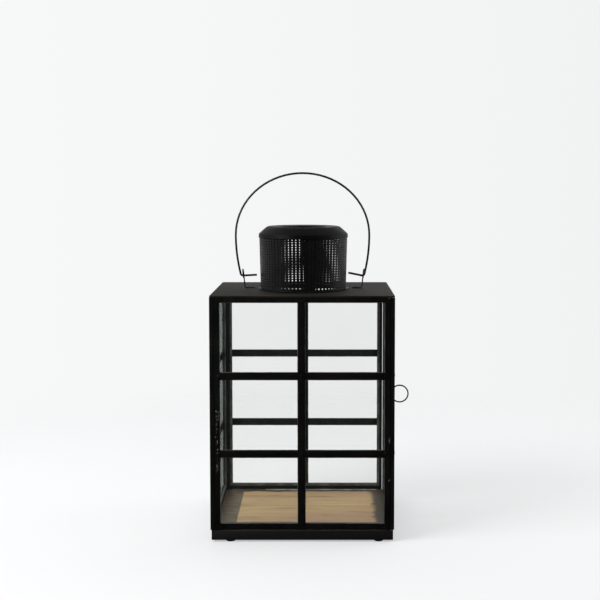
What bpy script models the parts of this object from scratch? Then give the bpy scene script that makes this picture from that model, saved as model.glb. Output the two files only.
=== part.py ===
"""Hurricane candle lantern: glazed metal case, wooden base, chimney and wire bail.

Frame: metres, +Z up, origin on the resting plane under the middle of the base.
The front faces -Y and the hinged door is the +X side.
"""

import math

import bmesh
import bpy
from mathutils import Matrix, Vector

# Case
WIDTH = 0.2500
DEPTH = 0.1900
GLAZED_HEIGHT = 0.3032
GAP = 0.0003
BASE_THICKNESS = 0.0140
BASE_MARGIN_X = 0.00125
BASE_MARGIN_Y = 0.0010
BASE_EDGE = 0.0009
FOOT_HEIGHT = 0.0022
FOOT_RADIUS = 0.0065
FOOT_INSET_LEFT = 0.0269
FOOT_INSET_RIGHT = 0.0208
FOOT_SETBACK = 0.0090
ROOF_THICKNESS = 0.0020
ROOF_CORNER = 0.0030
ROOF_EDGE = 0.0006

# Glazed panels
PANEL_THICKNESS = 0.0055
PANEL_JOINT = 0.0009
LIP_THICKNESS = 0.0013
REBATE_WIDTH = 0.0030
STILE_WIDTH = 0.0067
SIDE_STILE_WIDTH = 0.0090
TOP_RAIL = 0.0064
BOTTOM_RAIL = 0.0078
RAIL_LIFT = 0.0007
BAR_WIDTH = 0.0097
BAR_LEVELS = (0.318, 0.669)
FRONT_BAR_OFFSET = -0.0009
GLASS_THICKNESS = 0.0016
GLASS_EDGE_GAP = 0.0005
SEAL_THICKNESS = 0.0012
SEAL_SHOW = 0.0008

# Door on the +X side, and the pins that it turns on
DOOR_TOP_GAP = 0.0006
DOOR_FOOT_GAP = 0.0010
DOOR_PIVOT_INSET = 0.0021
PIN_RADIUS = 0.0010
PIN_CLEARANCE = 0.0001
PIN_GRIP = 0.0050
PIN_REACH_DOWN = 0.0050
WASHER_RADIUS = 0.0019
WASHER_THICKNESS = 0.0004
STOP_RADIUS = 0.0009
STOP_LENGTH = 0.0090
STOP_RISE = 0.0030
STOP_INSET = 0.0150

# Nails up through the base into the fixed panels
NAIL_RADIUS = 0.0007
NAIL_HEAD_RADIUS = 0.0011
NAIL_HEAD_HEIGHT = 0.0006
NAIL_BITE = 0.0036
NAIL_INSET = 0.0450

# Chimney
DRUM_FOOT_RADIUS = 0.0610
DRUM_TOP_RADIUS = 0.0629
DRUM_HEIGHT = 0.0765
DRUM_WALL = 0.0009
COLLAR_RADIUS = 0.0585
COLLAR_WALL = 0.0010
COLLAR_FLANGE_RADIUS = 0.0645
COLLAR_LIP = 0.0030
CAP_WALL = 0.0008
CAP_SKIRT = 0.0052
CAP_CONE_RUN = 0.0107
CAP_CONE_RISE = 0.0090
CAP_RIM_RADIUS = 0.0495
CAP_RISE = 0.0105
CAP_HOLE_RADIUS = 0.0317
CAP_SAG = 0.0015
CAP_TURN_DOWN = 0.0016

# Wire bail and the two eyes that carry it
BAIL_WIRE = 0.0015
BAIL_HALF_WIDTH = 0.0954
BAIL_ARCH = 0.0883
BAIL_LEG = 0.0580
BAIL_SPLAY = 0.0065
BAIL_OFFSET = -0.0011
BAIL_BEND = 0.0036
PIVOT_LIFT = 0.0188
HOOK_CLEAR = 0.0026
HOOK_RISE_LEFT = 0.0010
HOOK_RISE_RIGHT = 0.0040
EYE_WIRE = 0.0009
EYE_RADIUS = 0.0061
EYE_SPREAD = 0.0842
EYE_LEAN = math.radians(5.5)
EYE_FOOT = 0.0140
EYE_BEND = 0.0018
EYE_PLAY = 0.0007

# Ring pull on the door
RING_WIRE = 0.00105
RING_RADIUS = 0.0129
RING_DROOP = math.radians(28.0)
RING_EYE_WIRE = 0.0009
RING_EYE_RADIUS = 0.0032
RING_EYE_REACH = 0.0091
RING_EYE_LEVEL = 0.4845
RING_EYE_INSET = 0.0050

# Places worked out from the sizes above
BASE_LOW = FOOT_HEIGHT + GAP
BASE_TOP = BASE_LOW + BASE_THICKNESS
PANEL_FOOT = BASE_TOP + GAP
OPENING_LOW = PANEL_FOOT + RAIL_LIFT + BOTTOM_RAIL
OPENING_HIGH = OPENING_LOW + GLAZED_HEIGHT
PANEL_TOP = OPENING_HIGH + TOP_RAIL
ROOF_LOW = PANEL_TOP + GAP
ROOF_TOP = ROOF_LOW + ROOF_THICKNESS
FLANGE_TOP = ROOF_TOP + GAP + COLLAR_WALL
DRUM_LOW = FLANGE_TOP + GAP
DRUM_TOP = DRUM_LOW + DRUM_HEIGHT
BAIL_PIVOT_Z = ROOF_TOP + PIVOT_LIFT
DOOR_LOW = BASE_TOP + DOOR_FOOT_GAP
DOOR_HIGH = PANEL_TOP - DOOR_TOP_GAP
PANEL_MIDDLE_X = WIDTH / 2 - PANEL_THICKNESS / 2
PANEL_MIDDLE_Y = DEPTH / 2 - PANEL_THICKNESS / 2
DOOR_PIVOT = (PANEL_MIDDLE_X, -DEPTH / 2 + DOOR_PIVOT_INSET)
FRONT_WIDTH = WIDTH - 2 * (PANEL_THICKNESS + PANEL_JOINT)
RING_EYE_X = WIDTH / 2 + RING_EYE_REACH
RING_EYE_Y = DEPTH / 2 - RING_EYE_INSET
RING_EYE_Z = OPENING_LOW + RING_EYE_LEVEL * GLAZED_HEIGHT

PAINT = {"color": (0.012, 0.011, 0.010, 1.0), "rough": 0.55, "metal": 0.25}
WIRE = {"color": (0.010, 0.010, 0.011, 1.0), "rough": 0.40, "metal": 0.70}
BOARD = {"color": (0.42, 0.31, 0.17, 1.0), "rough": 0.70, "metal": 0.0}
PANE = {"color": (0.90, 0.93, 0.92, 0.35), "rough": 0.05, "metal": 0.0}
SEALANT = {"color": (0.55, 0.56, 0.54, 1.0), "rough": 0.45, "metal": 0.0}
STEEL = {"color": (0.45, 0.44, 0.42, 1.0), "rough": 0.35, "metal": 1.0}
RUBBER = {"color": (0.015, 0.015, 0.015, 1.0), "rough": 0.85, "metal": 0.0}


# ------------------------------------------------------------------ tools

def clear_scene():
    """Remove every object that the file opened with."""
    for obj in list(bpy.data.objects):
        bpy.data.objects.remove(obj, do_unlink=True)


def make_material(name, look):
    """A Principled material for one piece."""
    mat = bpy.data.materials.new(name)
    mat.use_nodes = True
    shader = mat.node_tree.nodes["Principled BSDF"]
    shader.inputs["Base Color"].default_value = look["color"]
    shader.inputs["Roughness"].default_value = look["rough"]
    shader.inputs["Metallic"].default_value = look["metal"]
    return mat


def finish(bm, name, look, smooth=False, parent=None):
    """Turn a bmesh, drawn in world coordinates, into a named object."""
    bmesh.ops.recalc_face_normals(bm, faces=bm.faces)
    mesh = bpy.data.meshes.new(name)
    bm.to_mesh(mesh)
    bm.free()
    if smooth:
        mesh.shade_smooth()
        mesh.set_sharp_from_angle(angle=math.radians(35))
    mesh.materials.append(make_material(name, look))
    obj = bpy.data.objects.new(name, mesh)
    bpy.context.collection.objects.link(obj)
    if parent is not None:
        mesh.transform(parent.matrix_world.inverted())
        obj.parent = parent
    return obj


def axis_empty(name, place, parent=None):
    """An empty on a joint's axis, which carries the pieces that turn there."""
    empty = bpy.data.objects.new(name, None)
    bpy.context.collection.objects.link(empty)
    empty.location = Vector(place)
    if parent is not None:
        empty.parent = parent
        empty.location -= parent.matrix_world.translation
    bpy.context.view_layer.update()
    return empty


def add_box(bm, low, high):
    """Add a box between two corners and return its vertices."""
    low = Vector(low)
    high = Vector(high)
    stretch = Matrix.Diagonal((*(high - low), 1.0))
    place = Matrix.Translation((low + high) / 2) @ stretch
    return bmesh.ops.create_cube(bm, size=1.0, matrix=place)["verts"]


def add_rod(bm, x, y, low, high, radius, top_radius=None, sides=24):
    """Add an upright rod or cone between two heights."""
    top = radius if top_radius is None else top_radius
    bmesh.ops.create_cone(
        bm, cap_ends=True, segments=sides, radius1=radius, radius2=top,
        depth=high - low, matrix=Matrix.Translation((x, y, (low + high) / 2)),
    )


def cut(target, tool_bm, name):
    """Cut the tool's solids out of the target with a Boolean."""
    tool = finish(tool_bm, name, PAINT)
    tool.hide_render = True
    tool.display_type = "WIRE"
    boolean = target.modifiers.new(name, "BOOLEAN")
    boolean.operation = "DIFFERENCE"
    boolean.solver = "EXACT"
    boolean.object = tool


def turn_profile(bm, profile, x=0.0, y=0.0, sides=72):
    """Spin a closed (radius, height) profile about an upright axis."""
    rings = []
    for step in range(sides):
        turn = 2 * math.pi * step / sides
        across = math.cos(turn)
        along = math.sin(turn)
        rings.append([bm.verts.new((x + r * across, y + r * along, z)) for r, z in profile])
    for step in range(sides):
        here = rings[step]
        after = rings[(step + 1) % sides]
        for i in range(len(profile)):
            j = (i + 1) % len(profile)
            bm.faces.new((here[i], after[i], after[j], here[j]))


def turn_solid(bm, profile, x, y, sides=16):
    """Spin an open (radius, height) profile whose two ends are on the upright axis."""
    top = bm.verts.new((x, y, profile[0][1]))
    bottom = bm.verts.new((x, y, profile[-1][1]))
    rings = []
    for step in range(sides):
        turn = 2 * math.pi * step / sides
        across = math.cos(turn)
        along = math.sin(turn)
        inner = profile[1:-1]
        rings.append([bm.verts.new((x + r * across, y + r * along, z)) for r, z in inner])
    for step in range(sides):
        here = rings[step]
        after = rings[(step + 1) % sides]
        bm.faces.new((top, here[0], after[0]))
        bm.faces.new((bottom, after[-1], here[-1]))
        for i in range(len(here) - 1):
            bm.faces.new((here[i], here[i + 1], after[i + 1], after[i]))


def sweep_wire(bm, path, radius, sides=10, closed=False):
    """Sweep a circle along a path without twisting it."""
    points = [Vector(p) for p in path]
    count = len(points)
    rings = []
    side = None
    for i, point in enumerate(points):
        before = points[i - 1] if closed or i > 0 else point
        after = points[(i + 1) % count] if closed or i < count - 1 else point
        tangent = (after - before).normalized()
        if side is None:
            side = tangent.orthogonal()
        side = (side - tangent * side.dot(tangent)).normalized()
        up = tangent.cross(side)
        ring = []
        for k in range(sides):
            turn = 2 * math.pi * k / sides
            offset = side * math.cos(turn) + up * math.sin(turn)
            ring.append(bm.verts.new(point + offset * radius))
        rings.append(ring)
    for i in range(count if closed else count - 1):
        here = rings[i]
        after = rings[(i + 1) % count]
        for k in range(sides):
            m = (k + 1) % sides
            bm.faces.new((here[k], here[m], after[m], after[k]))
    if not closed:
        bm.faces.new(rings[0])
        bm.faces.new(rings[-1])


def arc(centre, u, v, radius, start, end, steps):
    """Points on an arc about a centre, in the plane of the unit vectors u and v."""
    points = []
    for step in range(steps + 1):
        turn = start + (end - start) * step / steps
        ray = Vector(u) * math.cos(turn) + Vector(v) * math.sin(turn)
        points.append(Vector(centre) + ray * radius)
    return points


# ------------------------------------------------------------------- base

def foot_places():
    """Name and centre of each foot."""
    y = DEPTH / 2 - FOOT_SETBACK
    left = -WIDTH / 2 + FOOT_INSET_LEFT
    right = WIDTH / 2 - FOOT_INSET_RIGHT
    return {
        "foot_front_left": (left, -y),
        "foot_front_right": (right, -y),
        "foot_rear_left": (left, y),
        "foot_rear_right": (right, y),
    }


def nail_places():
    """Name and centre of each nail, two under each fixed panel."""
    x = WIDTH / 2 - NAIL_INSET
    y = DEPTH / 2 - NAIL_INSET
    return {
        "nail_front_left": (-x, -PANEL_MIDDLE_Y),
        "nail_front_right": (x, -PANEL_MIDDLE_Y),
        "nail_rear_left": (-x, PANEL_MIDDLE_Y),
        "nail_rear_right": (x, PANEL_MIDDLE_Y),
        "nail_left_front": (-PANEL_MIDDLE_X, -y),
        "nail_left_rear": (-PANEL_MIDDLE_X, y),
    }


def stop_place():
    """Centre of the stop nail, just inside the closed door's rear end."""
    return WIDTH / 2 - PANEL_THICKNESS - GAP - STOP_RADIUS, DEPTH / 2 - STOP_INSET


def build_feet():
    """Four round pads under the base."""
    for name, (x, y) in foot_places().items():
        bm = bmesh.new()
        add_rod(bm, x, y, 0.0, FOOT_HEIGHT, FOOT_RADIUS * 0.94, FOOT_RADIUS)
        finish(bm, name, RUBBER, smooth=True)


def nail_profile(clearance=0.0):
    """Outline of a flat-headed nail, or of its hole when a clearance is given."""
    tip = PANEL_FOOT + RAIL_LIFT + NAIL_BITE + clearance
    neck = BASE_LOW + NAIL_HEAD_HEIGHT + clearance
    shank = NAIL_RADIUS + clearance
    head = NAIL_HEAD_RADIUS + clearance
    low = BASE_LOW - clearance
    return [(0.0, tip), (shank, tip), (shank, neck), (head, BASE_LOW), (head, low), (0.0, low)]


def stop_profile():
    """Outline of the stop nail: a shank in the board with a rounded end above it."""
    low = BASE_TOP - STOP_LENGTH
    high = BASE_TOP + STOP_RISE
    chamfer = STOP_RADIUS * 0.4
    return [
        (0.0, high), (STOP_RADIUS - chamfer, high), (STOP_RADIUS, high - chamfer),
        (STOP_RADIUS, low), (0.0, low),
    ]


def build_base():
    """Wooden board, bored for the nails, the door's lower pin and the stop nail."""
    half_x = WIDTH / 2 - BASE_MARGIN_X
    half_y = DEPTH / 2 - BASE_MARGIN_Y
    bm = bmesh.new()
    add_box(bm, (-half_x, -half_y, BASE_LOW), (half_x, half_y, BASE_TOP))
    bmesh.ops.bevel(
        bm, geom=bm.edges[:], offset=BASE_EDGE, segments=2, affect="EDGES", profile=0.5,
    )
    board = finish(bm, "base_board", BOARD)
    holes = bmesh.new()
    for x, y in nail_places().values():
        turn_solid(holes, nail_profile(GAP), x, y)
    above = BASE_TOP + PIN_GRIP
    x, y = DOOR_PIVOT
    low = BASE_TOP - PIN_REACH_DOWN - GAP
    add_rod(holes, x, y, low, above, PIN_RADIUS + PIN_CLEARANCE)
    x, y = stop_place()
    add_rod(holes, x, y, BASE_TOP - STOP_LENGTH - GAP, above, STOP_RADIUS + GAP, sides=16)
    cut(board, holes, "base_holes_cut")


def build_base_fixings():
    """The nails under the base and the nail that stops the door."""
    for name, (x, y) in nail_places().items():
        bm = bmesh.new()
        turn_solid(bm, nail_profile(), x, y)
        finish(bm, name, STEEL, smooth=True)
    bm = bmesh.new()
    turn_solid(bm, stop_profile(), *stop_place())
    finish(bm, "door_stop", STEEL, smooth=True)


# ----------------------------------------------------------------- panels

class Panel:
    """One glazed panel, drawn facing -Y and then turned to its side of the case."""

    def __init__(self, side, width, stile, turn, reach):
        self.side = side
        self.half = width / 2
        self.stile = stile
        self.low = PANEL_FOOT
        self.high = PANEL_TOP
        self.parent = None
        self.place = Matrix.Rotation(turn, 4, "Z") @ Matrix.Translation((0, -reach, 0))

    def piece(self, bm, part, look):
        """Carry a drawn piece to its side of the case and finish it."""
        bmesh.ops.transform(bm, matrix=self.place, verts=bm.verts)
        return finish(bm, f"{self.side}_{part}", look, parent=self.parent)

    def hollow(self, obj, low, high, part):
        """Cut a box, drawn like the panel, out of one of its pieces."""
        bm = bmesh.new()
        add_box(bm, low, high)
        bmesh.ops.transform(bm, matrix=self.place, verts=bm.verts)
        cut(obj, bm, f"{self.side}_{part}")

    def opening(self, spread=0.0):
        """Low and high corners (x, z) of the glazed opening, widened by a spread."""
        half = self.half - self.stile + spread
        return (-half, OPENING_LOW - spread), (half, OPENING_HIGH + spread)

    def frame(self):
        """Welded frame of four bars, with a rebate for the glass behind the outer lip."""
        bm = bmesh.new()
        add_box(bm, (-self.half, 0, self.low), (self.half, PANEL_THICKNESS, self.high))
        obj = self.piece(bm, "frame", PAINT)
        behind = 2 * PANEL_THICKNESS
        low, high = self.opening()
        self.hollow(obj, (low[0], -behind, low[1]), (high[0], behind, high[1]), "opening_cut")
        low, high = self.opening(REBATE_WIDTH)
        self.hollow(
            obj, (low[0], LIP_THICKNESS, low[1]), (high[0], behind, high[1]), "rebate_cut",
        )
        return obj

    def muntins(self, offset=0.0):
        """Flat glazing bars, one upright and two across, soldered into one lattice."""
        low, high = self.opening(-GAP)
        w = BAR_WIDTH / 2
        xs = [low[0], offset - w, offset + w, high[0]]
        zs = [low[1]]
        for level in BAR_LEVELS:
            middle = OPENING_LOW + level * GLAZED_HEIGHT
            zs += [middle - w, middle + w]
        zs.append(high[1])
        bm = bmesh.new()
        grid = [[bm.verts.new((x, 0.0, z)) for z in zs] for x in xs]
        faces = []
        for i in range(3):
            for j in range(5):
                if i == 1 or j in (1, 3):
                    corners = (grid[i][j], grid[i + 1][j], grid[i + 1][j + 1], grid[i][j + 1])
                    faces.append(bm.faces.new(corners))
        moved = bmesh.ops.extrude_face_region(bm, geom=faces)["geom"]
        verts = [item for item in moved if isinstance(item, bmesh.types.BMVert)]
        bmesh.ops.translate(bm, verts=verts, vec=(0.0, LIP_THICKNESS, 0.0))
        return self.piece(bm, "muntins", PAINT)

    def glass(self):
        """One sheet of glass, bedded against the lip and the bars."""
        low, high = self.opening(REBATE_WIDTH - GLASS_EDGE_GAP)
        near = LIP_THICKNESS + GAP
        bm = bmesh.new()
        add_box(bm, (low[0], near, low[1]), (high[0], near + GLASS_THICKNESS, high[1]))
        return self.piece(bm, "glass", PANE)

    def seal(self):
        """Bead of sealant around the back of the glass, squeezed a little into view."""
        near = LIP_THICKNESS + GLASS_THICKNESS + 2 * GAP
        far = near + SEAL_THICKNESS
        low, high = self.opening(REBATE_WIDTH - GAP)
        bm = bmesh.new()
        add_box(bm, (low[0], near, low[1]), (high[0], far, high[1]))
        obj = self.piece(bm, "seal", SEALANT)
        low, high = self.opening(-SEAL_SHOW)
        behind = far + PANEL_THICKNESS
        self.hollow(obj, (low[0], 0.0, low[1]), (high[0], behind, high[1]), "seal_cut")
        return obj

    def glaze(self, offset=0.0):
        """The bars, the glass and its bead."""
        self.muntins(offset)
        self.glass()
        self.seal()


def build_fixed_panels():
    """Front, rear and left panels: their legs stand on the board and take its nails."""
    quarter = math.pi / 2
    panels = [
        (Panel("front", FRONT_WIDTH, STILE_WIDTH, 0.0, DEPTH / 2), FRONT_BAR_OFFSET),
        (Panel("rear", FRONT_WIDTH, STILE_WIDTH, 2 * quarter, DEPTH / 2), 0.0),
        (Panel("left", DEPTH, SIDE_STILE_WIDTH, -quarter, WIDTH / 2), 0.0),
    ]
    for panel, offset in panels:
        frame = panel.frame()
        inner = panel.half - panel.stile
        over = PANEL_THICKNESS
        panel.hollow(
            frame, (-inner, -over, PANEL_FOOT - over),
            (inner, 2 * over, PANEL_FOOT + RAIL_LIFT), "leg_cut",
        )
        holes = bmesh.new()
        for x, y in nail_places().values():
            turn_solid(holes, nail_profile(GAP), x, y)
        cut(frame, holes, f"{panel.side}_nail_cut")
        panel.glaze(offset)


def build_door():
    """Door panel on its two pins, with the washer that carries it."""
    x, y = DOOR_PIVOT
    axis = axis_empty("door_axis", (x, y, DOOR_LOW))
    panel = Panel("door", DEPTH, SIDE_STILE_WIDTH, math.pi / 2, WIDTH / 2)
    panel.low = DOOR_LOW
    panel.high = DOOR_HIGH
    panel.parent = axis
    frame = panel.frame()
    panel.glaze()
    holes = bmesh.new()
    grip = PIN_GRIP + GAP
    socket = PIN_RADIUS + GAP
    add_rod(holes, x, y, DOOR_LOW - grip, DOOR_LOW + grip, socket)
    add_rod(holes, x, y, DOOR_HIGH - grip, DOOR_HIGH + grip, socket)
    cut(frame, holes, "door_pin_cut")
    spans = {
        "door_pin_lower": (BASE_TOP - PIN_REACH_DOWN, DOOR_LOW + PIN_GRIP),
        "door_pin_upper": (DOOR_HIGH - PIN_GRIP, ROOF_TOP - GAP),
    }
    for name, (low, high) in spans.items():
        bm = bmesh.new()
        add_rod(bm, x, y, low, high, PIN_RADIUS)
        finish(bm, name, STEEL, smooth=True, parent=axis)
    bm = bmesh.new()
    low = BASE_TOP + GAP
    high = low + WASHER_THICKNESS
    bore = PIN_RADIUS + PIN_CLEARANCE
    turn_profile(
        bm, [(WASHER_RADIUS, high), (WASHER_RADIUS, low), (bore, low), (bore, high)], x, y, 24,
    )
    finish(bm, "door_washer", STEEL, smooth=True)
    return axis


# ------------------------------------------------------- roof and chimney

def build_roof():
    """Roof plate with rounded corners, the chimney's hole and the pin's hole."""
    half_x = WIDTH / 2
    half_y = DEPTH / 2
    bm = bmesh.new()
    add_box(bm, (-half_x, -half_y, ROOF_LOW), (half_x, half_y, ROOF_TOP))
    upright = [e for e in bm.edges if abs(e.verts[0].co.z - e.verts[1].co.z) > GAP]
    bmesh.ops.bevel(
        bm, geom=upright, offset=ROOF_CORNER, segments=5, affect="EDGES", profile=0.5,
    )
    rim = [e for e in bm.edges if min(v.co.z for v in e.verts) > ROOF_TOP - GAP]
    bmesh.ops.bevel(bm, geom=rim, offset=ROOF_EDGE, segments=2, affect="EDGES", profile=0.5)
    plate = finish(bm, "roof_plate", PAINT)
    holes = bmesh.new()
    low = ROOF_LOW - ROOF_THICKNESS
    high = ROOF_TOP + ROOF_THICKNESS
    add_rod(holes, 0.0, 0.0, low, high, COLLAR_RADIUS + GAP, sides=72)
    add_rod(holes, *DOOR_PIVOT, low, high, PIN_RADIUS + PIN_CLEARANCE)
    cut(plate, holes, "roof_holes_cut")


def build_collar():
    """Collar rolled over both faces of the roof around the chimney's hole."""
    inner = COLLAR_RADIUS - COLLAR_WALL
    lip_top = ROOF_LOW - GAP
    lip_low = lip_top - COLLAR_WALL
    flange_low = ROOF_TOP + GAP
    lip = COLLAR_RADIUS + COLLAR_LIP
    profile = [
        (inner, FLANGE_TOP), (COLLAR_FLANGE_RADIUS, FLANGE_TOP),
        (COLLAR_FLANGE_RADIUS, flange_low), (COLLAR_RADIUS, flange_low),
        (COLLAR_RADIUS, lip_top), (lip, lip_top), (lip, lip_low), (inner, lip_low),
    ]
    bm = bmesh.new()
    turn_profile(bm, profile)
    finish(bm, "chimney_collar", PAINT, smooth=True)


def build_drum():
    """Chimney drum, a little wider at its top."""
    profile = [
        (DRUM_TOP_RADIUS, DRUM_TOP), (DRUM_FOOT_RADIUS, DRUM_LOW),
        (DRUM_FOOT_RADIUS - DRUM_WALL, DRUM_LOW), (DRUM_TOP_RADIUS - DRUM_WALL, DRUM_TOP),
    ]
    bm = bmesh.new()
    turn_profile(bm, profile)
    finish(bm, "chimney_drum", PAINT, smooth=True)


def cap_curve(inset):
    """Cap's outline from its skirt up to the hole, moved inwards by an inset."""
    skirt = DRUM_TOP_RADIUS + GAP + CAP_WALL - inset
    shoulder = DRUM_TOP + GAP + CAP_WALL - inset
    brim = shoulder + CAP_CONE_RISE
    crown = shoulder + CAP_RISE
    hole = CAP_HOLE_RADIUS + inset
    points = [
        (skirt, DRUM_TOP + GAP + CAP_WALL - CAP_SKIRT),
        (skirt, shoulder),
        (skirt - CAP_CONE_RUN, brim),
        (CAP_RIM_RADIUS, crown),
        (hole, crown - CAP_SAG),
    ]
    points.append((hole, crown - CAP_SAG - CAP_TURN_DOWN + inset))
    return points


def build_cap():
    """Domed cap with a turned-down hole in its top."""
    profile = cap_curve(0.0) + list(reversed(cap_curve(CAP_WALL)))
    bm = bmesh.new()
    turn_profile(bm, list(reversed(profile)))
    finish(bm, "chimney_cap", PAINT, smooth=True)


# ------------------------------------------------------------------- bail

def build_eye(side, sign):
    """Wire eye: a foot along the roof, a leaning stem and a loop for the hook."""
    base_x = sign * EYE_SPREAD
    foot_z = ROOF_TOP + GAP + EYE_WIRE
    loop_z = BAIL_PIVOT_Z + EYE_RADIUS - EYE_WIRE - BAIL_WIRE - EYE_PLAY
    y = EYE_RADIUS
    corner = Vector((base_x - sign * EYE_BEND, y, foot_z + EYE_BEND))
    path = [Vector((base_x - sign * EYE_FOOT, y, foot_z))]
    path += arc(corner, (0, 0, -1), (sign, 0, 0), EYE_BEND, 0.0, math.pi / 2, 5)
    stem = arc(
        (base_x, 0.0, loop_z), (0, 1, 0), (0, 0, 1), EYE_RADIUS, 0.0, math.radians(305), 26,
    )
    lean = Matrix.Rotation(sign * EYE_LEAN, 3, "Y")
    root = Vector((base_x, y, foot_z + EYE_BEND))
    path += [root + lean @ (point - root) for point in stem]
    bm = bmesh.new()
    sweep_wire(bm, path, EYE_WIRE, sides=8)
    finish(bm, f"bail_eye_{side}", WIRE, smooth=True)


def bail_half(sign, rise):
    """Centre line of one side of the bail, from its hook's tip to the spring line."""
    foot = BAIL_HALF_WIDTH - BAIL_SPLAY
    tip = Vector((sign * (DRUM_TOP_RADIUS + HOOK_CLEAR), 0.0, rise))
    turn_in = foot - BAIL_BEND
    path = [tip, tip.lerp(Vector((sign * turn_in, 0.0, 0.0)), 0.5)]
    corner = (sign * turn_in, 0.0, BAIL_BEND)
    path += arc(corner, (0, 0, -1), (sign, 0, 0), BAIL_BEND, 0.0, math.pi / 2, 6)
    steps = 8
    for step in range(1, steps):
        height = BAIL_BEND + (BAIL_LEG - BAIL_BEND) * step / steps
        below = (BAIL_LEG - height) / (BAIL_LEG - BAIL_BEND)
        path.append(Vector((sign * (BAIL_HALF_WIDTH - BAIL_SPLAY * below ** 2), 0.0, height)))
    return path


def build_bail():
    """Carrying bail: two hooks in the eyes, two legs and an elliptical arch."""
    axis = axis_empty("bail_axis", (BAIL_OFFSET, 0.0, BAIL_PIVOT_Z))
    path = bail_half(-1, HOOK_RISE_LEFT)
    steps = 36
    for step in range(steps + 1):
        turn = math.pi * (1 - step / steps)
        x = BAIL_HALF_WIDTH * math.cos(turn)
        path.append(Vector((x, 0.0, BAIL_LEG + BAIL_ARCH * math.sin(turn))))
    path += list(reversed(bail_half(1, HOOK_RISE_RIGHT)))
    path = [point + axis.location for point in path]
    bm = bmesh.new()
    sweep_wire(bm, path, BAIL_WIRE, sides=12)
    finish(bm, "bail_handle", WIRE, smooth=True, parent=axis)


# -------------------------------------------------------------- ring pull

def build_ring_eye(door_axis):
    """Wire loop on the door's free stile, lying flat, for the ring to hang in."""
    start = WIDTH / 2 + GAP
    y = RING_EYE_Y + RING_EYE_RADIUS
    path = [Vector((start, y, RING_EYE_Z)), Vector(((start + RING_EYE_X) / 2, y, RING_EYE_Z))]
    path += arc(
        (RING_EYE_X, RING_EYE_Y, RING_EYE_Z), (0, 1, 0), (1, 0, 0), RING_EYE_RADIUS,
        0.0, math.radians(250), 20,
    )
    bm = bmesh.new()
    sweep_wire(bm, path, RING_EYE_WIRE, sides=8)
    finish(bm, "ring_eye", WIRE, smooth=True, parent=door_axis)


def build_ring(door_axis):
    """Ring pull, drooping from its eye."""
    place = (RING_EYE_X, RING_EYE_Y, RING_EYE_Z)
    axis = axis_empty("ring_axis", place, parent=door_axis)
    drop = Vector((math.cos(RING_DROOP), 0.0, -math.sin(RING_DROOP)))
    centre = Vector(place) + drop * RING_RADIUS
    path = arc(centre, (1, 0, 0), (0, 0, 1), RING_RADIUS, 0.0, 2 * math.pi, 48)[:-1]
    bm = bmesh.new()
    sweep_wire(bm, path, RING_WIRE, sides=10, closed=True)
    finish(bm, "ring_pull", WIRE, smooth=True, parent=axis)


def main():
    """Build the lantern from the base up."""
    clear_scene()
    build_feet()
    build_base()
    build_base_fixings()
    build_fixed_panels()
    door_axis = build_door()
    build_roof()
    build_collar()
    build_drum()
    build_cap()
    build_eye("left", -1)
    build_eye("right", 1)
    build_bail()
    build_ring_eye(door_axis)
    build_ring(door_axis)


main()
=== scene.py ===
"""Looks of a glazed hurricane candle lantern: paint, wood, glass, pierced chimney and wire."""

import logging
import math
import random
from dataclasses import dataclass, field
from enum import Enum
from typing import Callable, Iterable, Sequence

import bmesh
import bpy
from mathutils import Matrix, Vector, noise


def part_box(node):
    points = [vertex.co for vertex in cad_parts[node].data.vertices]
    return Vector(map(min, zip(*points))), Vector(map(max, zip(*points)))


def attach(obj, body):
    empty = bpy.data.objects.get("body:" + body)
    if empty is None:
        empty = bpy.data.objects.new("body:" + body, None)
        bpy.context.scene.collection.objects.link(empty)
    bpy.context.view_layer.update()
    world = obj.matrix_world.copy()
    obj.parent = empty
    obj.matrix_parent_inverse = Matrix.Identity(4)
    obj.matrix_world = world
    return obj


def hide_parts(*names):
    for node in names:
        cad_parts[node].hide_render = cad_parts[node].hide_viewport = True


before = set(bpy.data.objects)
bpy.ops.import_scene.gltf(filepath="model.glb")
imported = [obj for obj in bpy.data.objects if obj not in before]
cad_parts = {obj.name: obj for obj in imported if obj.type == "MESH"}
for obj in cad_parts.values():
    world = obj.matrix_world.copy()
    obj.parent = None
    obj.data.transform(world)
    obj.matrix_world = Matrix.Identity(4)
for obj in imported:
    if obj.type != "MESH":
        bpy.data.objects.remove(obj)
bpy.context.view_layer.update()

log = logging.getLogger("lantern")

STAINED_STRIP = 0.0255

Socket = bpy.types.NodeSocket
Colour = tuple[float, float, float]


class Axis(Enum):
    """Direction that brush marks, grain or streaks follow."""

    X = (1.0, 0.0, 0.0)
    Z = (0.0, 0.0, 1.0)

    def stretch(self, along: float, across: float) -> Colour:
        """Texture scale that is slow along this axis and quick across it.

        Args:
            along: scale along the axis.
            across: scale on the other two axes.

        Returns:
            The three scale values.
        """
        return tuple(along if part else across for part in self.value)


class Side(Enum):
    """The four glazed sides, by the name that their pieces carry."""

    FRONT = "front"
    REAR = "rear"
    LEFT = "left"
    DOOR = "door"

    @property
    def body(self) -> str:
        """Name of the moving body that this side belongs to."""
        return "door" if self is Side.DOOR else "case"

    @property
    def out(self) -> Vector:
        """Direction that the side faces."""
        return {
            Side.FRONT: Vector((0, -1, 0)),
            Side.REAR: Vector((0, 1, 0)),
            Side.LEFT: Vector((-1, 0, 0)),
            Side.DOOR: Vector((1, 0, 0)),
        }[self]

    @property
    def along(self) -> Vector:
        """Horizontal direction in the plane of the side."""
        return Vector((0, 0, 1)).cross(self.out)


# -------------------------------------------------------------- node graph

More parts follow.
